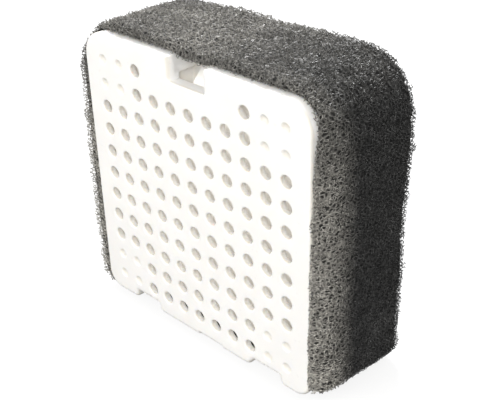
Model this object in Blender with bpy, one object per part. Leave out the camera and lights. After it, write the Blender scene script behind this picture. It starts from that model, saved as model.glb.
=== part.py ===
"""Sponge filter cartridge for a small aquarium: a perforated front grille that hooks and snaps onto
a windowed tray, a pad of floss and a bag of carbon in the tray, and a foam block pushed over the back.

World axes: the grille faces -Y, +Z is up, +X is to the right. The origin is under the middle of the
whole cartridge, on the surface that the foam stands on. All lengths are metres.
"""

import math

import bmesh
import bpy
from mathutils import Vector

MM = 0.001
GAP = 0.3 * MM  # space left between touching pieces
OVERRUN = 1 * MM  # how far a cutter runs past the face that it opens

# Foam block
FOAM_WIDTH = 81.4 * MM
FOAM_HEIGHT = 78.7 * MM
FOAM_TOP_RADIUS = 14 * MM
FOAM_BOTTOM_RADIUS = 5 * MM
FOAM_EDGE_RADIUS = 2.2 * MM
FOAM_FRONT = 2.0 * MM  # how far the foam starts behind the grille's front face

# Front grille; depths are measured back from its front face
GRILLE_WIDTH = 74 * MM
GRILLE_BOTTOM = 1.5 * MM
GRILLE_TOP = 76 * MM
GRILLE_TOP_RADIUS = 7 * MM
GRILLE_BOTTOM_RADIUS = 4.5 * MM
SKIN = 1.9 * MM
RIM_DEPTH = 3.5 * MM
RIM_WALL = 1.8 * MM

# Hole grid of the grille
HOLES_EACH_WAY = 11
PITCH_X = 6.0 * MM
PITCH_Z = 6.17 * MM
TOP_ROW_DROP = 6.6 * MM  # from the grille's top edge to the first row
HOLE_RADIUS = 1.55 * MM
DIMPLE_RADIUS = 1.3 * MM
DIMPLE_DEPTH = 0.8 * MM
HOLE_SIDES = 12
BLIND_CORNER = 2  # the holes of each corner's 2 x 2 group are blind
LATCH_COLUMNS = range(3, 8)  # columns that the top row leaves out, counted from 0

# Latch notch in the grille's top edge, and the recess behind it in the tray
NOTCH_HALF = 5.7 * MM
NOTCH_FLOOR = 70.0 * MM
NOTCH_WALL = 1.4 * MM
CHEEK_BOTTOM = 71.5 * MM  # the grille's cheeks run back on both sides of the latch, above this height
RECESS_BACK = 9.0 * MM
RECESS_DROP = 3.2 * MM  # how far the recess's walls reach below the notch floor
TONGUE_WIDTH = 3.8 * MM
TONGUE_TOP = 69.8 * MM
TONGUE_THICK = 1.3 * MM
NOSE_RISE = 2.9 * MM
NOSE_DEPTHS = (2.8 * MM, 3.5 * MM, 3.9 * MM)  # end of the ramp, end of the nose's top, its back foot
LATCH_CLEAR = 0.4 * MM  # space between the grille's back and the latch

# Bottom edge of the grille, and the hooks that it turns on
HOOK_XS = (-20.5 * MM, 23.3 * MM)
HOOK_NOTCH_HALF = 4.1 * MM
HOOK_NOTCH_RISE = 2.5 * MM
HOOK_ROOM = 1 * MM  # space at each end of a hook, behind the grille
CENTRE_NOTCH_X = 3.7 * MM
CENTRE_NOTCH_HALF = 4.1 * MM
CENTRE_NOTCH_RISE = 0.5 * MM
PIVOT_DEPTH = 3.3 * MM
PIVOT_Z = 4.6 * MM
BEAD_RADIUS = 1.1 * MM
HOOK_HALF = 3.5 * MM
SWING_CLEAR = 4.9 * MM  # radius round the pivot that the swinging grille needs

# Rear tray
TRAY_INSET = 0.4 * MM  # how much smaller than the grille it is all round
TRAY_BOTTOM = 5.2 * MM
TRAY_FRONT = RIM_DEPTH + GAP
TRAY_BACK = 19.4 * MM
TRAY_WALL = 1.6 * MM
TRAY_TOP = GRILLE_TOP - 0.3 * MM
TRAY_BOTTOM_RADIUS = 3 * MM
HOOK_ROOT = TRAY_FRONT + 2.5 * MM
HOOK_NECK = 1.1 * MM
BACK_WINDOWS = 8
BACK_WINDOW = 5.2 * MM
BACK_WINDOW_PITCH = 8.0 * MM
SIDE_WINDOWS = 5
SIDE_WINDOW_HEIGHT = 8 * MM
SIDE_WINDOW_PITCH = 12 * MM
SIDE_WINDOW_DEPTHS = (7 * MM, 16 * MM)

# Media
MEDIA_GAP = 0.4 * MM
FLOSS_DEPTHS = (4.1 * MM, 10.2 * MM)
FLOSS_NOTCH_HALF = 9.2 * MM
FLOSS_NOTCH_FLOOR = 66.4 * MM
BAG_DEPTHS = (10.8 * MM, 17.4 * MM)
BAG_EDGE_RADIUS = 2.4 * MM

DEPTH = 30.5 * MM  # whole cartridge, front of the grille to back of the foam
FRONT = -DEPTH / 2
ARC_STEPS = 5

WHITE = ((0.86, 0.86, 0.83, 1), 0.38)
CHARCOAL = ((0.035, 0.037, 0.038, 1), 0.95)
WOOL = ((0.80, 0.80, 0.76, 1), 0.95)
CARBON = ((0.03, 0.03, 0.03, 1), 0.85)


def clear_scene():
    for old in list(bpy.data.objects):
        bpy.data.objects.remove(old, do_unlink=True)


def material(name, look):
    colour, roughness = look
    made = bpy.data.materials.new(name)
    made.use_nodes = True
    shader = made.node_tree.nodes["Principled BSDF"]
    shader.inputs["Base Color"].default_value = colour
    shader.inputs["Roughness"].default_value = roughness
    shader.inputs["Metallic"].default_value = 0.0
    return made


# Outlines are lists of (across, up) points, counter-clockwise as seen from the front.


def arc(centre, radius, start, end, steps):
    """Points on a circle from start to end degrees, both ends included."""
    points = []
    for i in range(steps + 1):
        angle = math.radians(start + (end - start) * i / steps)
        points.append((centre[0] + radius * math.cos(angle), centre[1] + radius * math.sin(angle)))
    return points


def round_rectangle(left, right, bottom, top, bottom_radius, top_radius):
    low, high = bottom_radius, top_radius
    return (
        arc((right - low, bottom + low), low, 270, 360, ARC_STEPS)
        + arc((right - high, top - high), high, 0, 90, ARC_STEPS)
        + arc((left + high, top - high), high, 90, 180, ARC_STEPS)
        + arc((left + low, bottom + low), low, 180, 270, ARC_STEPS)
    )


def rectangle(left, right, bottom, top):
    return [(right, bottom), (right, top), (left, top), (left, bottom)]


def circle(centre, radius, sides):
    return arc(centre, radius, 0, 360 - 360 / sides, sides - 1)


def add_prism(mesh, near, far):
    """Adds a closed prism to a bmesh: near and far are its two end loops."""
    a = [mesh.verts.new(p) for p in near]
    b = [mesh.verts.new(p) for p in far]
    mesh.faces.new(a)
    mesh.faces.new(b[::-1])
    for i in range(len(a)):
        j = (i + 1) % len(a)
        mesh.faces.new((a[j], a[i], b[i], b[j]))


def finish_mesh(name, mesh):
    bmesh.ops.recalc_face_normals(mesh, faces=mesh.faces)
    data = bpy.data.meshes.new(name)
    mesh.to_mesh(data)
    mesh.free()
    made = bpy.data.objects.new(name, data)
    bpy.context.scene.collection.objects.link(made)
    return made


def prisms(name, outlines, depths):
    """One object of one prism for each outline, all running back from depths[0] to depths[1]."""
    mesh = bmesh.new()
    front, back = (FRONT + d for d in depths)
    for outline in outlines:
        near = [(x, front, z) for x, z in outline]
        far = [(x, back, z) for x, z in outline]
        add_prism(mesh, near, far)
    return finish_mesh(name, mesh)


def cross_prisms(name, profile, spans):
    """One object of a (depth, z) profile run along X over each span."""
    mesh = bmesh.new()
    for left, right in spans:
        near = [(left, FRONT + d, z) for d, z in profile]
        far = [(right, FRONT + d, z) for d, z in profile]
        add_prism(mesh, near, far)
    return finish_mesh(name, mesh)


def combine(target, operation, *tools):
    """Cuts each tool from the target, or joins it on, and hides the tool as a guide."""
    for tool in tools:
        step = target.modifiers.new(tool.name, "BOOLEAN")
        step.operation = operation
        step.solver = "EXACT"
        step.object = tool
        tool.hide_render = True
        tool.display_type = "WIRE"


def round_edges(target, width, segments, angle=60):
    step = target.modifiers.new("rounded_edges", "BEVEL")
    step.width = width
    step.segments = segments
    step.limit_method = "ANGLE"
    step.angle_limit = math.radians(angle)


def shade(target, look):
    target.data.materials.append(look)
    target.data.shade_smooth()
    target.data.set_sharp_from_angle(angle=math.radians(35))


def set_origin(target, point):
    """Puts the object's origin on a point of its joint's axis and leaves its shape in place."""
    offset = Vector(point)
    target.data.transform(target.matrix_world.Translation(-offset))
    target.location = offset


# Hole grid


def hole_centre(column, row):
    x = (column - (HOLES_EACH_WAY - 1) / 2) * PITCH_X
    z = GRILLE_TOP - TOP_ROW_DROP - row * PITCH_Z
    return x, z


def is_blind(column, row):
    last = HOLES_EACH_WAY - BLIND_CORNER
    return (column < BLIND_CORNER or column >= last) and (row < BLIND_CORNER or row >= last)


def hole_groups():
    """Centres of the through holes and of the blind ones."""
    through, blind = [], []
    for row in range(HOLES_EACH_WAY):
        for column in range(HOLES_EACH_WAY):
            if row == 0 and column in LATCH_COLUMNS:
                continue
            group = blind if is_blind(column, row) else through
            group.append(hole_centre(column, row))
    return through, blind


# Pieces


def grille_outline():
    """The grille's edge, with the latch notch on top and three notches below."""
    half = GRILLE_WIDTH / 2
    low, high = GRILLE_BOTTOM, GRILLE_TOP
    plate = round_rectangle(-half, half, low, high, GRILLE_BOTTOM_RADIUS, GRILLE_TOP_RADIUS)
    latch_notch = [
        (NOTCH_HALF, high),
        (NOTCH_HALF, NOTCH_FLOOR),
        (-NOTCH_HALF, NOTCH_FLOOR),
        (-NOTCH_HALF, high),
    ]
    top_left = 2 * (ARC_STEPS + 1)
    outline = plate[:top_left] + latch_notch + plate[top_left:]
    notches = (
        (HOOK_XS[0], HOOK_NOTCH_HALF, HOOK_NOTCH_RISE),
        (CENTRE_NOTCH_X, CENTRE_NOTCH_HALF, CENTRE_NOTCH_RISE),
        (HOOK_XS[1], HOOK_NOTCH_HALF, HOOK_NOTCH_RISE),
    )
    for middle, reach, rise in notches:
        left, right = middle - reach, middle + reach
        outline += [(left, low), (left, low + rise), (right, low + rise), (right, low)]
    return outline


def grille_pocket_outline():
    """The hollow behind the skin. It leaves the rim, a boss in each corner and a wall at the notch."""
    side = GRILLE_WIDTH / 2 - RIM_WALL
    low = GRILLE_BOTTOM + RIM_WALL
    high = GRILLE_TOP - RIM_WALL
    hook_side = max(HOOK_XS) + HOOK_NOTCH_HALF + HOOK_ROOM
    hook_top = TRAY_BOTTOM + TRAY_WALL + GAP
    boss_side = -hole_centre(BLIND_CORNER - 1, 0)[0] - PITCH_X / 2
    boss_high = hole_centre(0, BLIND_CORNER - 1)[1] - PITCH_Z / 2
    boss_low = hole_centre(0, HOLES_EACH_WAY - BLIND_CORNER)[1] + PITCH_Z / 2
    wall, floor = NOTCH_HALF + NOTCH_WALL, NOTCH_FLOOR - NOTCH_WALL
    right = [
        (hook_side, low),
        (hook_side, hook_top),
        (boss_side, hook_top),
        (boss_side, boss_low),
        (side, boss_low),
        (side, boss_high),
        (boss_side, boss_high),
        (boss_side, high),
        (wall, high),
        (wall, floor),
    ]
    return right + [(-x, z) for x, z in reversed(right)]


def make_grille(look):
    grille = prisms("front_grille", [grille_outline()], (0, RIM_DEPTH))
    pocket = prisms("grille_pocket", [grille_pocket_outline()], (SKIN, RIM_DEPTH + OVERRUN))
    through, blind = hole_groups()
    round_holes = [circle(c, HOLE_RADIUS, HOLE_SIDES) for c in through]
    dimples = [circle(c, DIMPLE_RADIUS, HOLE_SIDES) for c in blind]
    holes = prisms("grille_holes", round_holes, (-OVERRUN, RIM_DEPTH + 2 * OVERRUN))
    shallow = prisms("grille_dimples", dimples, (-OVERRUN, DIMPLE_DEPTH))
    high = GRILLE_TOP - TRAY_INSET
    cheeks = prisms(
        "grille_cheeks",
        [
            rectangle(-NOTCH_HALF - NOTCH_WALL, -NOTCH_HALF, CHEEK_BOTTOM, high),
            rectangle(NOTCH_HALF, NOTCH_HALF + NOTCH_WALL, CHEEK_BOTTOM, high),
        ],
        (SKIN, RECESS_BACK - GAP),
    )
    combine(grille, "DIFFERENCE", pocket, holes, shallow)
    combine(grille, "UNION", cheeks)
    set_origin(grille, (0, FRONT + PIVOT_DEPTH, PIVOT_Z))
    shade(grille, look)


def hook_profile():
    """A hook of the tray from the side: a round bead on the pivot and the neck that carries it."""
    low, high = TRAY_BOTTOM, TRAY_BOTTOM + TRAY_WALL
    bead = arc((PIVOT_DEPTH, PIVOT_Z), BEAD_RADIUS, 100, 340, 8)
    top = [(HOOK_ROOT, high), (TRAY_FRONT + GAP, high)]
    return top + bead + [(HOOK_ROOT - HOOK_NECK, low), (HOOK_ROOT, low)]


def tray_outline(inset):
    half = GRILLE_WIDTH / 2 - TRAY_INSET - inset
    low, high = TRAY_BOTTOM + inset, TRAY_TOP - inset
    radius = GRILLE_TOP_RADIUS - TRAY_INSET - inset
    return round_rectangle(-half, half, low, high, TRAY_BOTTOM_RADIUS - inset, radius)


def window_centres(count, pitch):
    return [(i - (count - 1) / 2) * pitch for i in range(count)]


def make_tray(look):
    tray = prisms("rear_tray", [tray_outline(0)], (TRAY_FRONT, TRAY_BACK))
    depths = (TRAY_FRONT - OVERRUN, TRAY_BACK - TRAY_WALL)
    hollow = prisms("tray_hollow", [tray_outline(TRAY_WALL)], depths)
    reach_in = NOTCH_HALF + NOTCH_WALL + GAP
    wall = reach_in + NOTCH_WALL
    recess_walls = prisms(
        "tray_recess_walls",
        [rectangle(-wall, wall, NOTCH_FLOOR - RECESS_DROP, TRAY_TOP - GAP)],
        (TRAY_FRONT, RECESS_BACK + NOTCH_WALL),
    )
    recess = prisms(
        "tray_recess",
        [rectangle(-reach_in, reach_in, NOTCH_FLOOR - RECESS_DROP - OVERRUN, TRAY_TOP + OVERRUN)],
        (TRAY_FRONT - OVERRUN, RECESS_BACK),
    )
    hook_spans = [(side - HOOK_HALF, side + HOOK_HALF) for side in HOOK_XS]
    hooks = cross_prisms("tray_hooks", hook_profile(), hook_spans)

    middle = (TRAY_BOTTOM + GRILLE_TOP) / 2
    reach = BACK_WINDOW / 2
    back_outlines = [
        rectangle(x - reach, x + reach, middle + z - reach, middle + z + reach)
        for x in window_centres(BACK_WINDOWS, BACK_WINDOW_PITCH)
        for z in window_centres(BACK_WINDOWS, BACK_WINDOW_PITCH)
    ]
    depths = (TRAY_BACK - 2 * TRAY_WALL, TRAY_BACK + OVERRUN)
    back_windows = prisms("tray_back_windows", back_outlines, depths)
    half = GRILLE_WIDTH / 2
    inner = half - TRAY_INSET - 2 * TRAY_WALL
    reach = SIDE_WINDOW_HEIGHT / 2
    side_outlines = [
        rectangle(left, right, middle + z - reach, middle + z + reach)
        for left, right in ((-half, -inner), (inner, half))
        for z in window_centres(SIDE_WINDOWS, SIDE_WINDOW_PITCH)
    ]
    side_windows = prisms("tray_side_windows", side_outlines, SIDE_WINDOW_DEPTHS)

    combine(tray, "DIFFERENCE", hollow)
    combine(tray, "UNION", recess_walls, hooks)
    combine(tray, "DIFFERENCE", recess, back_windows, side_windows)
    shade(tray, look)


def make_latch(look):
    low = TONGUE_TOP - TONGUE_THICK
    front = RIM_DEPTH + LATCH_CLEAR
    root = RECESS_BACK - GAP
    crest = TONGUE_TOP + NOSE_RISE
    ramp_end, nose_end, nose_foot = (front + d for d in NOSE_DEPTHS)
    profile = [
        (front, low),
        (root, low),
        (root, TONGUE_TOP),
        (nose_foot, TONGUE_TOP),
        (nose_end, crest),
        (ramp_end, crest),
        (front, TONGUE_TOP + 0.1 * MM),
    ]
    latch = cross_prisms("latch_tongue", profile, [(-TONGUE_WIDTH / 2, TONGUE_WIDTH / 2)])
    set_origin(latch, (0, FRONT + root + GAP / 2, low + TONGUE_THICK / 2))
    shade(latch, look)


def make_floss(look):
    half = GRILLE_WIDTH / 2 - TRAY_INSET - TRAY_WALL - MEDIA_GAP
    low, high = TRAY_BOTTOM + TRAY_WALL + MEDIA_GAP, TRAY_TOP - TRAY_WALL - MEDIA_GAP
    body = round_rectangle(-half, half, low, high, 1.5 * MM, 5 * MM)
    top_left = 2 * (ARC_STEPS + 1)
    notch = [
        (FLOSS_NOTCH_HALF, high),
        (FLOSS_NOTCH_HALF, FLOSS_NOTCH_FLOOR),
        (-FLOSS_NOTCH_HALF, FLOSS_NOTCH_FLOOR),
        (-FLOSS_NOTCH_HALF, high),
    ]
    floss = prisms("floss_pad", [body[:top_left] + notch + body[top_left:]], FLOSS_DEPTHS)
    shade(floss, look)


def make_bag(look):
    half = GRILLE_WIDTH / 2 - TRAY_INSET - TRAY_WALL - MEDIA_GAP
    low, high = TRAY_BOTTOM + TRAY_WALL + MEDIA_GAP, TRAY_TOP - TRAY_WALL - MEDIA_GAP
    bag = prisms("carbon_bag", [round_rectangle(-half, half, low, high, 3 * MM, 5 * MM)], BAG_DEPTHS)
    round_edges(bag, BAG_EDGE_RADIUS, 3)
    shade(bag, look)


def foam_pocket_outline(spare):
    half = GRILLE_WIDTH / 2 + spare
    low, high = TRAY_BOTTOM - spare, GRILLE_TOP + spare
    return round_rectangle(-half, half, low, high, TRAY_BOTTOM_RADIUS, GRILLE_TOP_RADIUS + spare)


def make_foam(look):
    half = FOAM_WIDTH / 2
    outline = round_rectangle(-half, half, 0, FOAM_HEIGHT, FOAM_BOTTOM_RADIUS, FOAM_TOP_RADIUS)
    foam = prisms("foam_block", [outline], (FOAM_FRONT, DEPTH))
    round_edges(foam, FOAM_EDGE_RADIUS, 2)
    pocket = prisms("foam_pocket", [foam_pocket_outline(GAP)], (-OVERRUN, TRAY_BACK + GAP))
    cove_outline = circle((PIVOT_DEPTH, PIVOT_Z), SWING_CLEAR, 24)
    reach = GRILLE_WIDTH / 2 + GAP
    cove = cross_prisms("foam_cove", cove_outline, [(-reach, reach)])
    mouth_outline = rectangle(-reach, reach, -OVERRUN, 2 * PIVOT_Z)
    mouth = prisms("foam_mouth", [mouth_outline], (-OVERRUN, PIVOT_DEPTH))
    combine(foam, "DIFFERENCE", pocket, cove, mouth)
    shade(foam, look)


def main():
    clear_scene()
    plastic = material("white_plastic", WHITE)
    make_grille(plastic)
    make_tray(plastic)
    make_latch(plastic)
    make_floss(material("white_floss", WOOL))
    make_bag(material("carbon_mesh", CARBON))
    make_foam(material("charcoal_foam", CHARCOAL))


main()
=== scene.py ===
"""Looks for a sponge filter cartridge: moulded white grille, latch and tray, white floss, a knitted bag
of carbon and a block of charcoal open-cell foam.

Shapes are worked out in millimetres and written to Blender in metres. In the row frame the grille
faces -Y and +Z is up.
"""

import math

import bmesh
import bpy
import numpy as np
from mathutils import Matrix, Vector
from mathutils.kdtree import KDTree


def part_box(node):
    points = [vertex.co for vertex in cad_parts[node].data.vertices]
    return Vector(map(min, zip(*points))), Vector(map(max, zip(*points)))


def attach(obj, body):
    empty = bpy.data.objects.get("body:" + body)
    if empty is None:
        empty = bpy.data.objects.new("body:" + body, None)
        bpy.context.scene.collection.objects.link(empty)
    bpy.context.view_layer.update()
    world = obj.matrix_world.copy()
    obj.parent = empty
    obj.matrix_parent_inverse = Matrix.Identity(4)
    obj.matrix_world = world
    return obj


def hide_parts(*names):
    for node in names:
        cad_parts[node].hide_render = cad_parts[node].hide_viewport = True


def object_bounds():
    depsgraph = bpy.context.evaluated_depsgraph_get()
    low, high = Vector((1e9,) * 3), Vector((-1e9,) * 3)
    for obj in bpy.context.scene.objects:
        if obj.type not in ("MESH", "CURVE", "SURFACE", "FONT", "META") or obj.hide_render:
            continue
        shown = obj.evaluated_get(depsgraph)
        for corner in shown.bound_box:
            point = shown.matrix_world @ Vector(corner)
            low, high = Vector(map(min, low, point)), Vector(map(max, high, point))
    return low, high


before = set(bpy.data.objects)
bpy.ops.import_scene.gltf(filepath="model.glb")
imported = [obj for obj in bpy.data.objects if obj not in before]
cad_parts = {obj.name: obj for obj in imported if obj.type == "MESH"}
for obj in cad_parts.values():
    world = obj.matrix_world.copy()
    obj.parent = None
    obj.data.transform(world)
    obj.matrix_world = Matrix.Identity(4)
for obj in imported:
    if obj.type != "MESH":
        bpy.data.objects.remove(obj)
CAD_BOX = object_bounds()

MM = 0.001


def box_mm(node):
    """The low and high corners of a CAD node's box, in millimetres."""
    low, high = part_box(node)
    return np.array(low) / MM, np.array(high) / MM


FOAM_LOW, FOAM_HIGH = box_mm("foam_block")
GRILLE_LOW, GRILLE_HIGH = box_mm("front_grille")
FLOSS_LOW, FLOSS_HIGH = box_mm("floss_pad")
BAG_LOW, BAG_HIGH = box_mm("carbon_bag")
FRONT = GRILLE_LOW[1]  # depths are measured back from the grille's front face

# Grille
SKIN = 1.9  # thickness of the plate with the holes
RIM_DEPTH = 3.5  # how far the rim reaches back
RIM_WALL = 1.8
HOLES_EACH_WAY = 11
PITCH_X = 6.0
PITCH_Z = 6.17
TOP_ROW_DROP = 6.6  # from the top edge to the middle of the first row
HOLE_RADIUS = 1.55
HOLE_FILLET = 0.45
BLIND_CORNER = 2  # holes each way that are blind at each corner
LATCH_COLUMNS = range(3, 8)  # left out of the top row
CELL_SEGMENTS = 32  # points round one hole
NOTCH_HALF = 5.7
NOTCH_FLOOR = 70.0  # height of the floor of the latch notch
NOTCH_WALL = 1.4
CHEEK_BOTTOM = 71.5
CHEEK_BACK = 8.7
TRAY_FLOOR = 5.2  # height of the underside of the tray
TRAY_WALL = 1.6

# Foam
FIT = 0.3  # gap between the foam's hollow and the plastic in it
HOLLOW_HALF = GRILLE_HIGH[0] + FIT
FOAM_TOP_RADIUS = 14
FOAM_BOTTOM_RADIUS = 5
FOAM_EDGE_RADIUS = 1.5
PIVOT = (FRONT + 3.3, 4.6)  # the hinge line of the grille, as (y, z)
SWING_CLEAR = 4.9  # radius round that line that the foam leaves free
POCKET_BACK = FRONT + 19.7  # back wall of the pocket that holds the tray
CELL = 1.2  # lattice constant of the foam's cells
SHELL = 0.5  # depth of the layer of open cells
CORE_DEPTH = 0.26  # how far under the skin the dark core lies
PIT = 0.25  # depth of the pits in the core
STRUT_RADIUS = 0.072
STUB = 0.3  # the most that a lone cut strut stands proud
TUFT = 0.28  # about how far a clump of cells stands proud
LIP_DEPTH = 8.5  # length from front to back over which the right lip turns in
LIP_INSET = 3.25  # how far it has turned in at its very front

# Carbon bag
BAG_HALF = BAG_HIGH[0] - 0.4
BAG_FOOT, BAG_TOP = BAG_LOW[2] + 0.4, BAG_HIGH[2] - 0.4
BAG_THICK = (BAG_HIGH[1] - BAG_LOW[1]) / 2 - 0.35
BAG_MIDDLE = (BAG_LOW[1] + BAG_HIGH[1]) / 2
BAG_PINCH = 0.035  # share by which its corners draw in

# Camera and lights. Angles are in degrees round the middle of the CAD box, counted from the front, and
# distances are in millimetres.
AIM_OFFSET = (3.25, 0.77, -3.13)
CAMERA_ANGLES = (45.14, 29.25)
CAMERA_ROLL = -1.54
CAMERA_DISTANCE = 230.9
CAMERA_LENS = 67.0
LIGHT_DISTANCE = 700


# Arrays and meshes


def unit(vectors):
    """The same directions with a length of one."""
    return vectors / np.linalg.norm(vectors, axis=-1, keepdims=True)


def ripple(points, wavelength, seed, waves=9):
    """A smooth random value near each point, mostly between -1.5 and 1.5."""
    rng = np.random.default_rng(seed)
    total = np.zeros(len(points))
    for _ in range(waves):
        direction = unit(rng.normal(size=3))
        turns = 2 * math.pi / (wavelength * rng.uniform(0.7, 1.5))
        total += np.sin(points @ direction * turns + rng.uniform(0, 2 * math.pi))
    return total / math.sqrt(waves / 2)


def step(values, low, high):
    """0 below low, 1 above high and smooth in between."""
    share = np.clip((values - low) / (high - low), 0, 1)
    return share * share * (3 - 2 * share)


def drop(values, low, high):
    """1 below low, 0 above high and smooth in between."""
    return 1 - step(values, low, high)


def mesh_object(name, points, quads):
    """One smooth mesh object from points in millimetres and an array of four-sided faces."""
    mesh = bpy.data.meshes.new(name)
    mesh.vertices.add(len(points))
    mesh.vertices.foreach_set("co", (points * MM).astype(np.float32).ravel())
    mesh.loops.add(quads.size)
    mesh.loops.foreach_set("vertex_index", quads.astype(np.int32).ravel())
    mesh.polygons.add(len(quads))
    mesh.polygons.foreach_set("loop_start", np.arange(len(quads), dtype=np.int32) * 4)
    mesh.update(calc_edges=True)
    mesh.shade_smooth()
    return add_object(name, mesh)


def add_object(name, mesh):
    made = bpy.data.objects.new(name, mesh)
    bpy.context.scene.collection.objects.link(made)
    return made


def with_zero(points):
    """Flat points with a third coordinate of zero."""
    return np.column_stack([points, np.zeros(len(points))])


def coordinates(mesh):
    """A mesh's points in millimetres."""
    flat = np.zeros(len(mesh.vertices) * 3, np.float32)
    mesh.vertices.foreach_get("co", flat)
    return flat.reshape(-1, 3).astype(float) / MM


def set_coordinates(mesh, points):
    mesh.vertices.foreach_set("co", (points * MM).astype(np.float32).ravel())
    mesh.update()


def nearest(places, points):
    """For each point, the distance to the nearest of the places, and which one it is."""
    tree = KDTree(len(places))
    for i, place in enumerate(places):
        tree.insert(place, i)
    tree.balance()
    found = [tree.find(point) for point in points]
    return np.array([f[2] for f in found]), np.array([f[1] for f in found])


def tubes(paths, radii, sides):
    """Open tubes along paths, an array of (tube, point, xyz); radii broadcasts to (tube, point)."""
    count, length, _ = paths.shape
    along = unit(np.gradient(paths, axis=1) + 1e-9)
    helper = np.where(np.abs(along[:, :1, 2:3]) < 0.8, [0.0, 0.0, 1.0], [1.0, 0.0, 0.0])
    across = unit(np.cross(along, helper))
    other = np.cross(along, across)
    radii = np.broadcast_to(radii, (count, length))[..., None, None]
    turns = np.arange(sides) * 2 * math.pi / sides
    ring = (
        across[:, :, None, :] * np.cos(turns)[:, None]
        + other[:, :, None, :] * np.sin(turns)[:, None]
    )
    points = (paths[:, :, None, :] + radii * ring).reshape(-1, 3)
    start = np.arange(count)[:, None, None] * length * sides
    ring_start = start + np.arange(length - 1)[None, :, None] * sides
    here = ring_start + np.arange(sides)
    after = ring_start + (np.arange(sides) + 1) % sides
    quads = np.stack([here, after, after + sides, here + sides], axis=-1)
    return points, quads.reshape(-1, 4)


def voxel_copy(node_name, voxel):
    """A mesh of even cells, copied from one CAD node, with its points in millimetres."""
    blank = add_object("blank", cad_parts[node_name].data.copy())
    remesh = blank.modifiers.new("voxels", "REMESH")
    remesh.mode = "VOXEL"
    remesh.voxel_size = voxel * MM
    graph = bpy.context.evaluated_depsgraph_get()
    data = bpy.data.meshes.new_from_object(blank.evaluated_get(graph))
    bpy.data.objects.remove(blank)
    return data, coordinates(data)


def finish_piece(piece, look, body=None, owner=None):
    """Gives a piece its material and slot, and makes it ride on a body or on its owner."""
    piece.data.materials.clear()
    piece.data.materials.append(look)
    if owner is None:
        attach(piece, body)
    else:
        piece.parent = owner


# Materials


def set_stops(band, stops):
    """Sets the stops of a colour ramp. Each is (position, value), and a value is a grey or a colour."""
    while len(band.elements) < len(stops):
        band.elements.new(0.5)
    for element, (position, value) in zip(band.elements, stops):
        element.position = position
        colour = (value, value, value) if isinstance(value, float) else value
        element.color = (*colour, 1.0)


class Look:
    """A material with one Principled shader, and short ways to add the nodes that feed it."""

    def __init__(self, name, **values):
        self.material = bpy.data.materials.new(name)
        self.material.use_nodes = True
        self.tree = self.material.node_tree
        self.shader = self.tree.nodes["Principled BSDF"]
        for socket, value in values.items():
            self.shader.inputs[socket.replace("_", " ")].default_value = value
        self.place = self.tree.nodes.new("ShaderNodeTexCoord").outputs["Object"]

    def link(self, source, target):
        self.tree.links.new(source, target)

    def noise(self, scale, detail=2.0, roughness=0.5, distortion=0.0):
        made = self.tree.nodes.new("ShaderNodeTexNoise")
        made.inputs["Scale"].default_value = scale
        made.inputs["Detail"].default_value = detail
        made.inputs["Roughness"].default_value = roughness
        made.inputs["Distortion"].default_value = distortion
        self.link(self.place, made.inputs["Vector"])
        return made.outputs["Fac"]

    def cells(self, scale, feature="F1"):
        made = self.tree.nodes.new("ShaderNodeTexVoronoi")
        made.feature = feature
        made.inputs["Scale"].default_value = scale
        self.link(self.place, made.inputs["Vector"])
        return made.outputs["Distance"]

    def ramp(self, source, *stops):
        """Turns a value into a colour or grey."""
        made = self.tree.nodes.new("ShaderNodeValToRGB")
        set_stops(made.color_ramp, stops)
        self.link(source, made.inputs["Fac"])
        return made.outputs["Color"]

    def mixed(self, first, second, share, kind="MIX"):
        made = self.tree.nodes.new("ShaderNodeMix")
        made.data_type = "RGBA"
        made.blend_type = kind
        made.inputs["Factor"].default_value = share
        self.link(first, made.inputs["A"])
        self.link(second, made.inputs["B"])
        return made.outputs["Result"]

    def span(self, axis, low, high, from_value, to_value):
        """A value that changes smoothly between two positions in millimetres along an axis."""
        parts = self.tree.nodes.new("ShaderNodeSeparateXYZ")
        self.link(self.place, parts.inputs["Vector"])
        made = self.tree.nodes.new("ShaderNodeMapRange")
        made.interpolation_type = "SMOOTHSTEP"
        made.inputs["From Min"].default_value = low * MM
        made.inputs["From Max"].default_value = high * MM
        made.inputs["To Min"].default_value = from_value
        made.inputs["To Max"].default_value = to_value
        self.link(parts.outputs[axis], made.inputs["Value"])
        return made.outputs["Result"]

    def painted_light(self):
        """Painted light on the foam: how much paler it is painted on top, most at the left, and beside
        the grille, most low down, where the lamps light it.
        """
        top = self.span("Z", 70, 79, 0.0, 0.52)
        top = self.mixed(top, self.span("X", -5, 32, 1.0, 0.25), 1.0, "MULTIPLY")
        mouth = self.span("Y", FRONT + 3, FRONT + 12.5, 1.0, 0.0)
        mouth = self.mixed(mouth, self.span("Z", 45, 72, 1.0, 0.4), 1.0, "MULTIPLY")
        pale = self.mixed(top, mouth, 1.0, "LIGHTEN")
        return self.ramp(pale, (0.0, (1.0, 1.0, 1.0)), (1.0, (8.2, 7.9, 7.3)))

    def feed(self, socket, source):
        self.link(source, self.shader.inputs[socket])

    def bump(self, height, strength, distance_mm, onto=None):
        made = self.tree.nodes.new("ShaderNodeBump")
        made.inputs["Strength"].default_value = strength
        made.inputs["Distance"].default_value = distance_mm * MM
        self.link(height, made.inputs["Height"])
        if onto is not None:
            self.link(onto, made.inputs["Normal"])
        self.link(made.outputs["Normal"], self.shader.inputs["Normal"])
        return made.outputs["Normal"]


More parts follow.
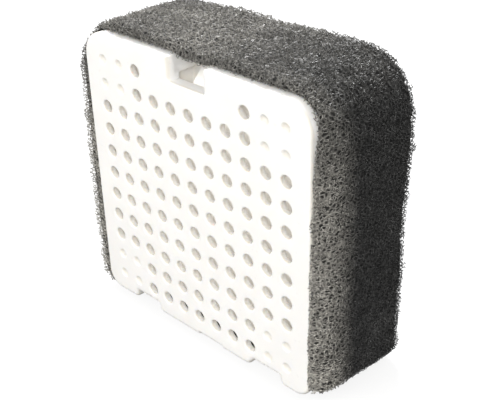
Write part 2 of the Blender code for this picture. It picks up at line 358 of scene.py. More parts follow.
def plastic_look(name, pale, shade, painted_recess_shade=False):
    """Satin moulded plastic: faint cloudiness, flow marks and a fine mould texture.

    For the grille, the last argument paints shade into the band just behind the front face, which is the
    edge of the plate, the fillets of the holes and the dimples.
    """
    look = Look(name, Subsurface_Weight=0.2, Subsurface_Scale=0.001, IOR=1.49)
    look.shader.inputs["Subsurface Radius"].default_value = (1.0, 0.85, 0.65)
    clouds = look.ramp(look.noise(70, 3.0, 0.55, 0.4), (0.3, shade), (0.7, pale))
    specks = look.ramp(look.noise(900, 2.0), (0.2, 0.94), (0.34, 1.0))
    base = look.mixed(clouds, specks, 1.0, "MULTIPLY")
    if painted_recess_shade:
        # painted shade: this band is darkened to beige, as shade in the plate's edge, the hole fillets
        # and the dimples
        white, recess_shade_colour = (1.0, 1.0, 1.0), (0.90, 0.88, 0.83)
        depth = look.span("Y", FRONT, FRONT + 2, 0.0, 1.0)
        tint = look.ramp(depth, (0.0, white), (0.06, recess_shade_colour), (0.2, recess_shade_colour), (0.6, white))
        base = look.mixed(base, tint, 1.0, "MULTIPLY")
    look.feed("Base Color", base)
    look.feed("Roughness", look.ramp(look.noise(160, 4.0), (0.3, 0.34), (0.7, 0.46)))
    wavy = look.bump(look.noise(120, 1.0), 0.15, 0.12)
    look.bump(look.noise(4200, 2.0), 0.12, 0.03, wavy)
    return look.material


def strand_look():
    """Strands of the foam: charcoal polyurethane with a hard, glossy skin."""
    look = Look("foam_strands", IOR=1.5)
    dark, light = (0.034, 0.034, 0.034), (0.058, 0.058, 0.057)
    patches = look.ramp(look.noise(60, 3.0), (0.3, dark), (0.7, light))
    # painted light: the strands are painted paler on top and beside the grille
    patches = look.mixed(patches, look.painted_light(), 1.0, "MULTIPLY")
    flecks = look.ramp(look.noise(1500, 2.0), (0.35, 0.4), (0.7, 1.9))
    look.feed("Base Color", look.mixed(patches, flecks, 1.0, "MULTIPLY"))
    look.feed("Roughness", look.ramp(look.noise(700, 2.0), (0.3, 0.18), (0.7, 0.42)))
    look.bump(look.noise(5000, 2.0), 0.2, 0.02)
    return look.material


def core_look():
    """The foam under its outermost cells: pores painted nearly black as shade deep in the cells, with
    webs of strands between them.
    """
    look = Look("foam_core", IOR=1.45)
    webs = look.cells(760, "DISTANCE_TO_EDGE")
    # painted shade: the pores are painted nearly black, far darker than the charcoal strands, for the
    # shade deep in the open cells
    web, edge, pore = (0.12, 0.12, 0.117), (0.055, 0.055, 0.054), (0.008, 0.008, 0.008)
    colour = look.ramp(webs, (0.0, web), (0.10, edge), (0.24, pore))
    patches = look.ramp(look.noise(90, 3.0), (0.3, 0.28), (0.7, 0.45))
    # painted light: the core is painted paler on top and beside the grille
    patches = look.mixed(patches, look.painted_light(), 1.0, "MULTIPLY")
    look.feed("Base Color", look.mixed(colour, patches, 1.0, "MULTIPLY"))
    look.feed("Roughness", look.ramp(webs, (0.0, 0.4), (0.2, 0.9)))
    look.bump(look.ramp(webs, (0.0, 1.0), (0.25, 0.0)), 0.9, 0.5)
    return look.material


def floss_look(name, pale, shade):
    """White polishing fibre, matt and webbed."""
    # a faint warm glow stands for the light that soaks through the wadding
    look = Look(name, Sheen_Weight=0.25, Emission_Strength=0.24)
    look.shader.inputs["Emission Color"].default_value = (1.0, 0.92, 0.80, 1.0)
    look.feed("Base Color", look.ramp(look.noise(140, 4.0, 0.6), (0.3, shade), (0.7, pale)))
    look.feed("Roughness", look.ramp(look.noise(600, 2.0), (0.3, 0.7), (0.7, 0.95)))
    webs = look.noise(900, 4.0, 0.65, 1.5)
    look.bump(webs, 0.6, 0.35)
    return look.material


def carbon_look():
    """Granules of activated carbon: nearly black, with facets that glint."""
    look = Look("carbon_granules", IOR=1.6)
    facets = look.cells(1100)
    dark, light = (0.008, 0.008, 0.009), (0.035, 0.035, 0.036)
    look.feed("Base Color", look.ramp(look.noise(700, 4.0), (0.3, dark), (0.7, light)))
    look.feed("Roughness", look.ramp(facets, (0.2, 0.35), (0.7, 0.75)))
    look.bump(facets, 0.7, 0.25)
    return look.material


def thread_look():
    """Dark synthetic thread of the knitted bag."""
    look = Look("net_thread", Sheen_Weight=0.2)
    dark, light = (0.035, 0.036, 0.038), (0.07, 0.071, 0.073)
    look.feed("Base Color", look.ramp(look.noise(500, 3.0), (0.3, dark), (0.7, light)))
    look.feed("Roughness", look.ramp(look.noise(900, 2.0), (0.3, 0.45), (0.7, 0.7)))
    look.bump(look.noise(7000, 2.0), 0.3, 0.03)
    return look.material


# Grille


def hole_centre(column, row):
    x = (column - (HOLES_EACH_WAY - 1) / 2) * PITCH_X
    return x, GRILLE_HIGH[2] - TOP_ROW_DROP - row * PITCH_Z


def is_blind(column, row):
    last = HOLES_EACH_WAY - BLIND_CORNER
    return (column < BLIND_CORNER or column >= last) and (row < BLIND_CORNER or row >= last)


def grille_corners(edge, under, notch_side, notch_floor):
    """The grille's outline as (x, z, corner radius, fillet of the edge that follows)."""
    half, low, high = GRILLE_HIGH[0], GRILLE_LOW[2], GRILLE_HIGH[2]
    corners = [
        (half, low, 4.5, edge),
        (half, high, 7.0, edge),
        (NOTCH_HALF, high, 0.6, edge),
        (NOTCH_HALF, NOTCH_FLOOR, 0.3, notch_floor),
        (-NOTCH_HALF, NOTCH_FLOOR, 0.3, notch_side),
        (-NOTCH_HALF, high, 0.6, edge),
        (-half, high, 7.0, edge),
        (-half, low, 4.5, under),
    ]
    notches = (
        # left foot, left end of the raised edge, right end of it, right foot, rise
        (-25.2, -24.6, -16.4, -15.8, 2.5, 0.5, 1.4),
        (-0.6, -0.4, 7.7, 7.9, 0.5, 0.15, 0.3),
        (17.0, 19.2, 27.4, 28.0, 2.5, 0.5, 1.6),
    )
    for foot_left, left, right, foot_right, rise, inner, outer in notches:
        corners += [
            (foot_left, low, outer, under),
            (left, low + rise, inner, under),
            (right, low + rise, inner, under),
            (foot_right, low, outer, under),
        ]
    return corners


def pocket_corners():
    """The hollow behind the grille's skin. It stays clear of the cells round the through holes."""
    spare = 0.3  # gap to the cells and to the tray
    side = GRILLE_HIGH[0] - RIM_WALL
    low, high = GRILLE_LOW[2] + RIM_WALL, GRILLE_HIGH[2] - RIM_WALL
    hook_side = 28.4
    hook_top = TRAY_FLOOR + TRAY_WALL + spare
    boss_side = -hole_centre(BLIND_CORNER - 1, 0)[0] - PITCH_X / 2 + spare
    boss_high = hole_centre(0, BLIND_CORNER - 1)[1] - PITCH_Z / 2 + spare
    boss_low = hole_centre(0, HOLES_EACH_WAY - BLIND_CORNER)[1] + PITCH_Z / 2 - spare
    wall, floor = NOTCH_HALF + NOTCH_WALL, NOTCH_FLOOR - NOTCH_WALL
    right = [
        (hook_side, low),
        (hook_side, hook_top),
        (boss_side, hook_top),
        (boss_side, boss_low),
        (side, boss_low),
        (side, boss_high),
        (boss_side, boss_high),
        (boss_side, high),
        (wall, high),
        (wall, floor),
    ]
    both = right + [(-x, z) for x, z in reversed(right)]
    return [(x, z, 0.4, 0.0) for x, z in both]


def loop_at(corners, share):
    """The outline moved inwards by share of each edge's fillet, as (x, z, fillet there)."""
    loop = []
    for i, (x, z, radius, fillet) in enumerate(corners):
        before, after = corners[i - 1], corners[(i + 1) % len(corners)]
        arriving = unit(np.array([x - before[0], z - before[1]]))
        leaving = unit(np.array([after[0] - x, after[1] - z]))
        in_one = np.array([-arriving[1], arriving[0]])
        in_two = np.array([-leaving[1], leaving[0]])
        moves = np.array([before[3], fillet]) * share
        outward = arriving[0] * leaving[1] - arriving[1] * leaving[0] > 0
        if outward:
            bend, sign = max(radius - moves.max(), 0.02), 1
        else:
            bend, sign = radius + moves.max(), -1
        centre = np.array([x, z]) + np.linalg.solve(np.array([in_one, in_two]), moves + sign * bend)
        start = math.atan2(-sign * in_one[1], -sign * in_one[0])
        end = math.atan2(-sign * in_two[1], -sign * in_two[0])
        turn = (end - start + math.pi) % (2 * math.pi) - math.pi
        steps = 3 + int(radius * 2)
        for k in range(steps + 1):
            angle = start + turn * k / steps
            blend = before[3] + (fillet - before[3]) * k / steps
            x_here = centre[0] + bend * math.cos(angle)
            z_here = centre[1] + bend * math.sin(angle)
            loop.append((x_here, z_here, blend))
    return loop


def join_loops(mesh, loops):
    """Bands of faces between loops of the same length, each given as a list of (x, y, z)."""
    rings = [[mesh.verts.new(p) for p in loop] for loop in loops]
    for one, two in zip(rings, rings[1:]):
        for i in range(len(one)):
            j = (i + 1) % len(one)
            mesh.faces.new((one[i], one[j], two[j], two[i]))
    return rings


def cell_square(centre, depth):
    """Points round the cell of one hole, starting at its lower right corner."""
    reach = np.array([PITCH_X / 2, PITCH_Z / 2])
    corners = np.array([(1, -1), (1, 1), (-1, 1), (-1, -1), (1, -1)]) * reach
    per_side = CELL_SEGMENTS // 4
    points = []
    for i in range(4):
        for k in range(per_side):
            x, z = corners[i] + (corners[i + 1] - corners[i]) * k / per_side
            points.append((centre[0] + x, depth, centre[1] + z))
    return points


def cell_ring(centre, radius, depth):
    """As many points on a circle, starting at its lower right."""
    points = []
    for k in range(CELL_SEGMENTS):
        angle = -math.pi / 4 + 2 * math.pi * k / CELL_SEGMENTS
        x = centre[0] + radius * math.cos(angle)
        z = centre[1] + radius * math.sin(angle)
        points.append((x, depth, z))
    return points


def add_hole(mesh, centre):
    """A through hole with a fillet at the front and a small flare at the back."""
    rings = [cell_square(centre, 0)]
    for angle in (0, 30, 60, 90):
        a = math.radians(angle)
        radius = HOLE_RADIUS + HOLE_FILLET * (1 - math.sin(a))
        rings.append(cell_ring(centre, radius, HOLE_FILLET * (1 - math.cos(a))))
    rings.append(cell_ring(centre, HOLE_RADIUS + 0.04, SKIN - 0.15))
    rings.append(cell_ring(centre, HOLE_RADIUS + 0.2, SKIN))
    rings.append(cell_square(centre, SKIN))
    join_loops(mesh, rings)


def add_dimple(mesh, centre):
    """A blind hole: a shallow bowl with a soft edge."""
    profile = ((HOLE_RADIUS, 0.0), (1.38, 0.05), (1.2, 0.19), (0.95, 0.36), (0.6, 0.48), (0.25, 0.52))
    rings = [cell_square(centre, 0)] + [cell_ring(centre, r, d) for r, d in profile]
    last = join_loops(mesh, rings)[-1]
    mesh.faces.new(last)


def fill_plane(mesh, depth):
    """Fills the flat area between all open loops at one depth."""
    edges = [
        e for e in mesh.edges if e.is_boundary and all(abs(v.co.y - depth) < 1e-5 for v in e.verts)
    ]
    bmesh.ops.triangle_fill(mesh, use_beauty=True, edges=edges, normal=(0, -1, 0))


def add_cheek(mesh, side):
    """The flange that carries one side of the latch notch back into the tray's recess."""
    near, far = NOTCH_HALF - 0.02, NOTCH_HALF + NOTCH_WALL
    cheek_top = GRILLE_HIGH[2] - 0.4
    made = bmesh.ops.create_cube(mesh, size=1)["verts"]
    size = np.array((far - near, CHEEK_BACK - SKIN, cheek_top - CHEEK_BOTTOM))
    corners = np.array((side * (near + far), CHEEK_BACK + SKIN, cheek_top + CHEEK_BOTTOM))
    middle = corners / 2
    for v in made:
        v.co = Vector(np.array(v.co) * size + middle)
    edges = list({e for v in made for e in v.link_edges})
    bmesh.ops.bevel(mesh, geom=edges, offset=0.25, segments=3, profile=0.5, affect="EDGES")


def add_holes(mesh):
    for row in range(HOLES_EACH_WAY):
        for column in range(HOLES_EACH_WAY):
            if row == 0 and column in LATCH_COLUMNS:
                continue
            add = add_dimple if is_blind(column, row) else add_hole
            add(mesh, hole_centre(column, row))


def add_wall(mesh):
    """The outer wall of the plate with a fillet at the front and at the back, and the pocket's wall."""
    front = grille_corners(edge=0.8, under=1.1, notch_side=1.75, notch_floor=0.45)
    back = grille_corners(edge=0.3, under=0.3, notch_side=0.3, notch_floor=0.3)
    wall = []
    for angle in (0, 22.5, 45, 67.5, 90):
        a = math.radians(angle)
        sunk = 1 - math.cos(a)
        wall.append([(x, f * sunk, z) for x, z, f in loop_at(front, 1 - math.sin(a))])
    for angle in (90, 45, 0):
        a = math.radians(angle)
        sunk = 1 - math.cos(a)
        wall.append([(x, RIM_DEPTH - f * sunk, z) for x, z, f in loop_at(back, 1 - math.sin(a))])
    join_loops(mesh, wall)
    pocket = loop_at(pocket_corners(), 0)
    join_loops(mesh, [[(x, depth, z) for x, z, _ in pocket] for depth in (SKIN, RIM_DEPTH)])


def build_grille():
    mesh = bmesh.new()
    add_holes(mesh)
    add_wall(mesh)
    bmesh.ops.remove_doubles(mesh, verts=mesh.verts, dist=1e-5)
    for depth in (0, SKIN, RIM_DEPTH):
        fill_plane(mesh, depth)
    for side in (-1, 1):
        add_cheek(mesh, side)
    bmesh.ops.recalc_face_normals(mesh, faces=mesh.faces)
    bmesh.ops.translate(mesh, verts=mesh.verts, vec=(0, FRONT, 0))
    bmesh.ops.scale(mesh, verts=mesh.verts, vec=(MM, MM, MM))
    data = bpy.data.meshes.new("grille_moulding")
    mesh.to_mesh(data)
    mesh.free()
    data.shade_smooth()
    data.set_sharp_from_angle(angle=math.radians(50))
    grille = add_object("grille_moulding", data)
    flat = grille.modifiers.new("flat_faces_stay_flat", "WEIGHTED_NORMAL")
    flat.keep_sharp = True
    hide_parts("front_grille")
    # the grille's plastic has painted shade in its edge band, hole fillets and dimples
    look = plastic_look("grille_plastic", (0.90, 0.893, 0.88), (0.875, 0.865, 0.848), painted_recess_shade=True)
    finish_piece(grille, look, "grille")


# Foam


def round_rectangle(x, z, half, low, high, low_radius, high_radius):
    """Signed distance in the XZ plane, negative inside."""
    middle = (low + high) / 2
    radius = np.where(z > middle, high_radius, low_radius)
    across = np.abs(x) - half + radius
    up = np.abs(z - middle) - (high - low) / 2 + radius
    outside = np.hypot(np.maximum(across, 0), np.maximum(up, 0))
    return np.minimum(np.maximum(across, up), 0) + outside - radius


def foam_outer(points):
    """Signed distance to the block without its hollows."""
    x, y, z = points.T
    radii = (FOAM_BOTTOM_RADIUS, FOAM_TOP_RADIUS)
    flat = round_rectangle(x, z, FOAM_HIGH[0], FOAM_LOW[2], FOAM_HIGH[2], *radii)
    middle = (FOAM_LOW[1] + FOAM_HIGH[1]) / 2
    slab = np.abs(y - middle) - (FOAM_HIGH[1] - FOAM_LOW[1]) / 2
    r = FOAM_EDGE_RADIUS
    outside = np.hypot(np.maximum(flat + r, 0), np.maximum(slab + r, 0))
    return np.minimum(np.maximum(flat + r, slab + r), 0) + outside - r


def foam_hollow(points):
    """Signed distance to the pocket for the tray and the room that the grille swings in."""
    x, y, z = points.T
    beside = np.abs(x) - HOLLOW_HALF
    pocket = round_rectangle(x, z, HOLLOW_HALF, TRAY_FLOOR - FIT, GRILLE_HIGH[2] + FIT, 3, 7.3)
    pocket = np.maximum(pocket, y - POCKET_BACK)
    cove = np.maximum(np.hypot(y - PIVOT[0], z - PIVOT[1]) - SWING_CLEAR, beside)
    mouth = np.maximum(np.maximum(y - PIVOT[0], z - 2 * PIVOT[1]), beside)
    return np.minimum(np.minimum(pocket, cove), mouth)


def foam_skin(points):
    """Signed distance to the whole block."""
    return np.maximum(foam_outer(points), -foam_hollow(points))


def slope(field, points):
    """Unit gradient of a distance field."""
    small = 0.05
    steps = [
        field(points + offset) - field(points - offset) for offset in np.eye(3) * small
    ]
    gradient = np.stack(steps, axis=-1)
    return gradient / np.maximum(np.linalg.norm(gradient, axis=1, keepdims=True), 1e-6)


def add_waves(moved, points):
    """Slow unevenness, away from the pocket."""
    free = step(foam_hollow(points), 1.5, 6)
    at_back = step(points[:, 1], 0, 8)
    moved[:, 0] += 0.3 * ripple(points, 34, 11) * free
    moved[:, 2] += 0.3 * ripple(points, 30, 12) * free
    moved[:, 1] += 0.3 * ripple(points, 26, 13) * free * at_back


def swell_lips(moved, points):
    """The lip at each side swells forward past the grille, most of all low on the right."""
    x, y, z = points.T
    lip = drop(y, FOAM_LOW[1] + 0.5, FOAM_LOW[1] + 10) * step(np.abs(x), 35, 37.4)
    right = np.interp(z, (0, 18, 43, 63, 74), (2.2, 2.4, 1.9, 1.2, 0.0))
    left = np.interp(z, (0, 70, 77), (1.4, 1.1, 0.0))
    moved[:, 1] -= lip * np.where(x > 0, right, left)
    # the left one also stands out to the side
    proud = (1.3 + 0.9 * step(z, 8, 22) * drop(z, 40, 60)) * step(-x, 38, 40.5) * drop(z, 66, 76)
    moved[:, 0] -= lip * np.where(x < 0, proud, 0)
    # the right one turns in towards the grille in a quarter ellipse
    outward = np.clip((x - HOLLOW_HALF) / 3.4, 0, 1.1)
    depth = np.clip((moved[:, 1] - FOAM_LOW[1] + 2.0) / LIP_DEPTH, 0, 1)
    turned = 1 - np.sqrt(1 - (1 - depth) ** 2)
    moved[:, 0] -= LIP_INSET * outward * turned * drop(z, 66, 76)


def hug_grille(moved, points):
    """The front edge of the foam closes the gap to the sides of the grille."""
    x, y, _ = points.T
    snug = drop(y, FOAM_LOW[1] + 1, FOAM_LOW[1] + 4) * step(np.abs(x), 36.5, 37.2)
    moved[:, 0] -= FIT * np.sign(x) * snug


def shape_right_side(moved, points):
    """Low on the right the corner is drawn up, and the back is fullest two thirds of the way up."""
    x, y, z = points.T
    corner = 1.2 * drop(y, FOAM_LOW[1], 8) + 2.3 * drop(y, FRONT + 1, FRONT + 9)
    moved[:, 2] += corner * drop(z, 1, 14) * step(x, 20, 38)
    moved[:, 2] += 0.7 * step(z, 66, 78) * step(y, 0, 14) * step(x, 0, 12)
    full = np.interp(z, (0, 12, 36, 46, 58, 66), (-0.9, -0.7, -0.3, 0.5, 0.9, 0.0))
    moved[:, 1] += full * step(x, 24, 38) * step(y, 4, 14)


def sag_into_notch(moved, points):
    """The foam hangs a little into the latch notch."""
    x, y, z = points.T
    sag = drop(np.abs(x), 3, 8) * drop(y, FOAM_LOW[1] + 2, FOAM_LOW[1] + 9) * step(z, 75, 76.3)
    moved[:, 2] -= 0.9 * sag * (1 - step(z, 77, 78.5) * 0.6)


def clear_swing(moved, points):
    """The room that the grille swings in stays free."""
    arm = moved[:, 1:] - PIVOT
    reach = np.maximum(np.linalg.norm(arm, axis=1), 1e-6)
    push = np.clip(SWING_CLEAR + 0.1 - reach, 0, None) * drop(np.abs(points[:, 0]), 36.5, 37.5)
    moved[:, 1:] += arm * (push / reach)[:, None]


def settle(points):
    """Bends the ideal block to the soft, slightly uneven form of real foam.

    Only the slow waves leave the whole pocket alone. The other steps move parts of it a little.
    """
    moved = points.copy()
    for bend in (add_waves, swell_lips, hug_grille, shape_right_side, sag_into_notch, clear_swing):
        bend(moved, points)
    return moved


def kelvin_struts():
    """Struts of a Kelvin foam's unit cell: pairs of (site, site, whole-cell offset of the second)."""
    base = np.array([(0, 0.25, 0.5), (0, 0.5, 0.25), (0, 0.75, 0.5), (0, 0.5, 0.75)])
    sites = np.concatenate([np.roll(base, k, axis=1) for k in range(3)])
    pairs = []
    for i, one in enumerate(sites):
        for j, two in enumerate(sites):
            for offset in np.ndindex(3, 3, 3):
                shift = np.array(offset) - 1
                near = abs(np.linalg.norm(two + shift - one) - math.sqrt(2) / 4) < 1e-3
                if near and (tuple(shift), j) > ((0, 0, 0), i):
                    pairs.append((i, j, shift))
    return sites, pairs


def scatter(whole, salt):
    """A repeatable random number from 0 to 1 for each row of whole numbers."""
    mixed = whole @ np.array([12.9898, 78.233, 37.719]) + salt * 4.1414
    return np.modf(np.abs(np.sin(mixed)) * 43758.5453)[0]


def lattice_ends():
    """Both ends of every strut in the layer under the foam's skin, before the block settles."""
    turn = np.array(Matrix.Rotation(0.61, 3, Vector((1, 2, 0.7)).normalized()))
    sites, pairs = kelvin_struts()
    reach = int(62 / CELL)
    whole = np.arange(-reach, reach + 1)
    grid = np.stack(np.meshgrid(whole, whole, whole, indexing="ij"), -1).reshape(-1, 3)
    middle = (FOAM_LOW + FOAM_HIGH) / 2
    centres = grid * CELL @ turn.T + middle
    outer, hollow = foam_outer(centres), foam_hollow(centres)
    lip = (hollow < SHELL + CELL) & (centres[:, 1] < FRONT + 11)
    near = (outer < CELL) & (hollow > -CELL) & ((outer > -SHELL - CELL) | lip)
    grid = grid[near].astype(float)

    def site(which, cells):
        spread = [scatter(cells, 31 * which + axis) - 0.5 for axis in range(3)]
        local = (cells + sites[which] + 0.30 * np.stack(spread, -1)) * CELL
        place = local @ turn.T + middle
        sway = [ripple(place, 7, 40 + axis) for axis in range(3)]
        return place + 0.28 * np.stack(sway, -1)

    starts, ends, keys = [], [], []
    for one, two, shift in pairs:
        starts.append(site(one, grid))
        ends.append(site(two, grid + shift))
        keys.append(scatter(grid, 500 + one * 12 + two))
    return np.concatenate(starts), np.concatenate(ends), np.concatenate(keys)


def cut_struts(a, b, key):
    """Keeps the struts near the surface and shortens those that the cut went through."""
    swap = foam_skin(a) > foam_skin(b)
    a[swap], b[swap] = b[swap].copy(), a[swap].copy()
    deep, shallow = foam_skin(a), foam_skin(b)
    covered = foam_outer(b) > -SHELL
    lip = (foam_hollow(b) < SHELL) & (b[:, 1] < FRONT + 9)
    # clumps stand proud of the cut, but the foot that the foam stands on is flat
    tufts = TUFT * np.clip(ripple(b, 2.4, 71), 0, None) * step(b[:, 2], 1, 5)
    keep = (deep < 0.8 * tufts) & (covered | lip)
    a, b, key, deep, shallow, tufts = (part[keep] for part in (a, b, key, deep, shallow, tufts))
    proud = STUB * key**2 + tufts
    share = np.where(shallow > proud, (proud - deep) / np.maximum(shallow - deep, 1e-6), 1)
    b = a + (b - a) * np.clip(share, 0.05, 1)[:, None]
    clear = np.minimum(foam_hollow(a), foam_hollow(b)) >= 0.05
    return a[clear], b[clear], key[clear]


def build_cells():
    """The open cells at the foam's surface, cut off raggedly at its skin, as one piece for each side."""
    a, b, key = cut_struts(*lattice_ends())
    a, b = settle(a), settle(b)
    middle = (a + b) / 2
    to_high, to_low = FOAM_HIGH - middle, middle - FOAM_LOW
    sides = {
        "right": to_high[:, 0],
        "left": to_low[:, 0],
        "top": to_high[:, 2],
        "bottom": to_low[:, 2],
        "back": to_high[:, 1],
        "front": to_low[:, 1],
    }
    closest = np.stack(list(sides.values())).argmin(axis=0)
    made = []
    for k, name in enumerate(sides):
        chosen = closest == k
        paths = np.stack([a[chosen], b[chosen]], axis=1)
        radii = STRUT_RADIUS * (0.75 + 0.6 * key[chosen])[:, None]
        made.append(mesh_object("foam_cells_" + name, *tubes(paths, radii, 3)))
    return made


def build_core():
    """The closed body of foam under the outermost cells, with a pit for each cell it is cut through."""
    data, points = voxel_copy("foam_block", 0.62)
    outer, hollow = foam_outer(points), foam_hollow(points)
    rng = np.random.default_rng(5)
    scattered = rng.uniform(FOAM_LOW - 1, FOAM_HIGH + 1, (240000, 3))
    close = np.abs(foam_skin(scattered)) < 1.2
    away, _ = nearest(scattered[close][:60000], points)
    pit = PIT * drop(away, 0.15, 0.75)
    on_outer = outer > -0.5
    cut = np.where(on_outer, CORE_DEPTH + pit, 0)[:, None]
    points = points - slope(foam_outer, points) * cut
    on_hollow = (hollow < 0.5) & ~on_outer
    points = points + slope(foam_hollow, points) * np.where(on_hollow, 0.1 + pit, 0)[:, None]
    set_coordinates(data, settle(points))
    data.shade_smooth()
    return add_object("foam_core", data)


def build_foam():
    core = build_core()
    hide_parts("foam_block")
    finish_piece(core, core_look(), "foam")
    look = strand_look()
    for piece in build_cells():
        finish_piece(piece, look, owner=core)


# Floss and carbon


def build_wadding(middle):
    """The body of the floss pad, plump in its middle and thinner towards its edges."""
    data, points = voxel_copy("floss_pad", 0.8)
    edge = np.minimum(
        np.minimum(points[:, 0] - FLOSS_LOW[0], FLOSS_HIGH[0] - points[:, 0]),
        np.minimum(points[:, 2] - FLOSS_LOW[2], FLOSS_HIGH[2] - points[:, 2]),
    )
    plump = 0.72 + 0.2 * step(edge, 0, 7) + 0.05 * ripple(points, 9, 21)
    points[:, 1] = middle + (points[:, 1] - middle) * plump
    points[:, 0] += 0.12 * ripple(points, 6, 22)
    points[:, 2] += 0.12 * ripple(points, 6, 23)
    set_coordinates(data, points)
    data.shade_smooth()
    pad = add_object("floss_wadding", data)
    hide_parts("floss_pad")
    look = floss_look("floss_bulk", (0.66, 0.655, 0.64), (0.52, 0.515, 0.49))
    finish_piece(pad, look, "cartridge")
    return pad


def fibre_paths(middle):
    """Fibres that wander over both faces of the pad, most of them on the face behind the grille."""
    rng = np.random.default_rng(8)
    count, length = 3600, 8
    low, high = FLOSS_LOW + 3, FLOSS_HIGH - 3
    start = rng.uniform((low[0], 0, low[2]), (high[0], 0, high[2]), (count, 3))
    first_heading = rng.uniform(0, 2 * math.pi, count)[:, None]
    heading = first_heading + np.cumsum(rng.normal(0, 0.35, (count, length)), axis=1)
    stride = rng.uniform(0.6, 1.3, (count, 1))
    paths = np.zeros((count, length, 3))
    for axis, turn in ((0, np.cos), (2, np.sin)):
        walk = start[:, None, axis] + np.cumsum(turn(heading) * stride, axis=1)
        paths[..., axis] = np.clip(walk, FLOSS_LOW[axis] + 1, FLOSS_HIGH[axis] - 1)
    facing = np.where(rng.uniform(size=count) < 0.75, -1, 1)
    lift = 0.25 * np.sin(np.linspace(0, math.pi, length)) * rng.uniform(0, 1, (count, 1))
    surface = (FLOSS_HIGH[1] - FLOSS_LOW[1]) / 2 * 0.9 - 0.1 + lift
    paths[..., 1] = middle + facing[:, None] * surface
    # the recess of the latch stays clear
    in_recess = (np.abs(paths[..., 0]) < 10) & (paths[..., 2] > 65.5)
    return paths[~in_recess.any(axis=1)]


def build_floss():
    middle = (FLOSS_LOW[1] + FLOSS_HIGH[1]) / 2
    pad = build_wadding(middle)
    fibres = mesh_object("floss_fibres", *tubes(fibre_paths(middle), 0.055, 3))
    look = floss_look("floss_fibre", (0.78, 0.775, 0.76), (0.64, 0.635, 0.61))
    finish_piece(fibres, look, owner=pad)


def pillow(x, z, half, low, high):
    """Half-thickness share of a stuffed flat bag: 0 at its seam and about 1 over most of it."""
    seam = -round_rectangle(x, z, half, low, high, 3, 5)
    return np.sqrt(1 - (1 - np.clip(seam / 5.5, 0, 1)) ** 2)


def bag_place(s, t):
    """The x and z of a point of the bag, from s and t, which run from -1 to 1 across it and up it."""
    x = s * BAG_HALF * (1 - BAG_PINCH * np.abs(t) ** 6)
    half_height = (BAG_TOP - BAG_FOOT) / 2 * (1 - BAG_PINCH * np.abs(s) ** 6)
    return x, (BAG_FOOT + BAG_TOP) / 2 + t * half_height


def build_granules():
    """The filled bag: two lumpy sheets that meet at the seam."""
    columns, rows = 150, 145
    rng = np.random.default_rng(14)
    s, t = np.meshgrid(np.linspace(-1, 1, columns), np.linspace(-1, 1, rows), indexing="ij")
    x, z = bag_place(s, t)
    granules = rng.uniform((-BAG_HALF, BAG_FOOT), (BAG_HALF, BAG_TOP), (1300, 2))
    flat = np.stack([x.ravel(), z.ravel()], -1)
    away, which = nearest(with_zero(granules), with_zero(flat))
    tall = rng.uniform(-0.2, 0.25, len(granules))[which]
    lumps = 0.42 * np.sqrt(np.clip(1 - (away / 1.5) ** 2, 0, 1)) + tall - 0.45
    share = pillow(flat[:, 0], flat[:, 1], BAG_HALF, BAG_FOOT, BAG_TOP)
    sheets = []
    for facing in (-1, 1):
        y = BAG_MIDDLE + facing * (BAG_THICK * share + lumps * np.minimum(share * 2, 1))
        sheets.append(np.stack([flat[:, 0], y, flat[:, 1]], -1))
    index = np.arange(columns * rows).reshape(columns, rows)
    corners = [index[:-1, :-1], index[1:, :-1], index[1:, 1:], index[:-1, 1:]]
    face = np.stack(corners, -1).reshape(-1, 4)
    count = columns * rows
    rim = np.concatenate([index[:, 0], index[-1, 1:], index[-2::-1, -1], index[0, -2:0:-1]])
    after = np.roll(rim, -1)
    edge = np.stack([after, rim, rim + count, after + count], -1)
    quads = np.concatenate([face, face[:, ::-1] + count, edge])
    bag = mesh_object("carbon_fill", np.concatenate(sheets), quads)
    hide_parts("carbon_bag")
    finish_piece(bag, carbon_look(), "cartridge")
    return bag


def net_paths():
    """The knitted net: two families of slanting threads on each face, pinched together at the seam."""
    lines, points_each, kept_each = 62, 110, 60
    offsets = np.linspace(-1.9, 1.9, lines)
    run = np.linspace(-1, 1, points_each)
    place = np.linspace(0, 1, kept_each)
    paths = []
    for facing in (-1, 1):
        for lean in (-1, 1):
            across = offsets[:, None] + lean * run[None, :] * 0.95
            across = across + 0.006 * np.sin(run[None, :] * 90 + offsets[:, None] * 3)
            inside = np.abs(across) <= 1
            for thread, part in zip(across, inside):
                if part.sum() < 8:
                    continue
                spread = np.linspace(0, 1, part.sum())
                s, t = np.interp(place, spread, thread[part]), np.interp(place, spread, run[part])
                x, z = bag_place(s, t)
                lift = BAG_THICK * pillow(x, z, BAG_HALF, BAG_FOOT, BAG_TOP) + 0.05
                paths.append(np.stack([x, BAG_MIDDLE + facing * lift, z], -1))
    return np.array(paths)


def build_bag():
    bag = build_granules()
    net = mesh_object("bag_net", *tubes(net_paths(), 0.11, 4))
    finish_piece(net, thread_look(), owner=bag)


# Plastic that keeps its CAD shape


def dress_node(name, look, width):
    """Softens the edges of a node that keeps its CAD mesh, and gives it its material."""
    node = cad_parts[name]
    weld = node.modifiers.new("joined_corners", "WELD")
    weld.merge_threshold = 0.01 * MM
    soften = node.modifiers.new("soft_edges", "BEVEL")
    soften.width = width * MM
    soften.segments = 3
    soften.limit_method = "ANGLE"
    soften.angle_limit = math.radians(50)
    soften.harden_normals = False
    node.data.shade_smooth()
    flat = node.modifiers.new("flat_faces_stay_flat", "WEIGHTED_NORMAL")
    flat.keep_sharp = True
    node.data.materials.clear()
    node.data.materials.append(look)


# Stage


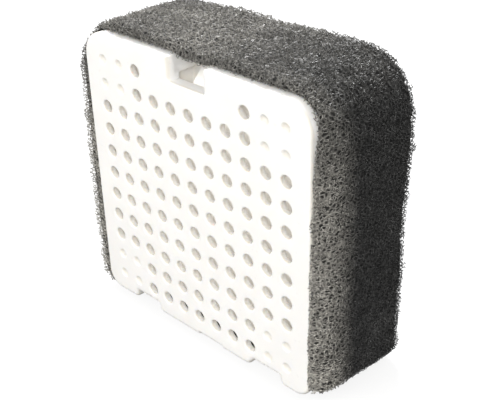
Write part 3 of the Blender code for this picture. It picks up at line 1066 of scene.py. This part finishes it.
def build_stage():
    mesh = bmesh.new()
    bmesh.ops.create_grid(mesh, x_segments=1, y_segments=1, size=6)
    data = bpy.data.meshes.new("floor")
    mesh.to_mesh(data)
    mesh.free()
    floor = add_object("floor", data)
    floor.location = (0, 0, CAD_BOX[0][2] - MM)
    look = Look("floor_paper", Roughness=0.9, Emission_Strength=0.8)
    look.shader.inputs["Emission Color"].default_value = (1.0, 1.0, 1.0, 1.0)
    look.feed("Base Color", look.ramp(look.noise(6, 2.0), (0.3, 0.2), (0.7, 0.22)))
    data.materials.append(look.material)
    # a light table: it is bright for the camera and sends no light up at the object
    floor.visible_diffuse = False
    floor.visible_glossy = False

    world = bpy.data.worlds.new("studio")
    bpy.context.scene.world = world
    world.use_nodes = True
    tree = world.node_tree
    tree.nodes["Background"].inputs["Strength"].default_value = 1.0
    # a soft sky: brightest round the sides, dimmer overhead and dim from below
    direction = tree.nodes.new("ShaderNodeTexCoord")
    parts = tree.nodes.new("ShaderNodeSeparateXYZ")
    tree.links.new(direction.outputs["Generated"], parts.inputs["Vector"])
    height = tree.nodes.new("ShaderNodeMapRange")
    height.inputs["From Min"].default_value = -0.3
    tree.links.new(parts.outputs["Z"], height.inputs["Value"])
    sky = tree.nodes.new("ShaderNodeValToRGB")
    sky.color_ramp.interpolation = "EASE"
    set_stops(sky.color_ramp, ((0.0, 0.15), (0.42, 0.97), (0.65, 0.8), (1.0, 0.6)))
    tree.links.new(height.outputs["Result"], sky.inputs["Fac"])
    tree.links.new(sky.outputs["Color"], tree.nodes["Background"].inputs["Color"])
    bpy.context.scene.view_settings.view_transform = "Standard"


def towards(azimuth, elevation):
    """The direction from the object to something at these angles. (0, 0) is straight in front."""
    a, e = math.radians(azimuth), math.radians(elevation)
    return Vector((math.sin(a) * math.cos(e), -math.cos(a) * math.cos(e), math.sin(e)))


def aim(made, target, outward, distance, roll=0.0):
    """Puts a light or camera at a distance in millimetres from its target and turns it to face it."""
    made.location = target + outward * distance * MM
    made.rotation_mode = "QUATERNION"
    turned = Matrix.Rotation(math.radians(roll), 3, "Z").to_quaternion()
    made.rotation_quaternion = (-outward).to_track_quat("-Z", "Y") @ turned
    bpy.context.scene.collection.objects.link(made)


def box_middle():
    low, high = (Vector(corner) for corner in CAD_BOX)
    return (low + high) / 2


def add_light(name, angles, size, watts, colour):
    """A soft round light aimed at the object's middle."""
    light = bpy.data.lights.new(name, "AREA")
    light.shape = "DISK"
    light.size = size
    light.energy = watts
    light.color = colour
    aim(bpy.data.objects.new(name, light), box_middle(), towards(*angles), LIGHT_DISTANCE)


def build_camera():
    """The camera of the photograph: above and to the right of the grille."""
    camera = bpy.data.cameras.new("camera")
    camera.lens = CAMERA_LENS
    camera.sensor_width = 36.0
    camera.clip_start = 0.005
    made = bpy.data.objects.new("camera", camera)
    target = box_middle() + Vector(AIM_OFFSET) * MM
    aim(made, target, towards(*CAMERA_ANGLES), CAMERA_DISTANCE, CAMERA_ROLL)
    bpy.context.scene.camera = made


build_camera()
build_stage()
add_light("key_left", (-14, 24), 0.3, 2.1, (1.0, 0.985, 0.95))
add_light("key_right", (42, 30), 0.3, 2.4, (1.0, 0.985, 0.95))
add_light("back", (228, 48), 0.2, 7.0, (0.98, 0.985, 1.0))
build_grille()
tray_plastic = plastic_look("tray_plastic", (0.88, 0.868, 0.84), (0.85, 0.835, 0.80))
dress_node("rear_tray", tray_plastic, 0.22)
dress_node("latch_tongue", tray_plastic, 0.2)
build_floss()
build_bag()
build_foam()
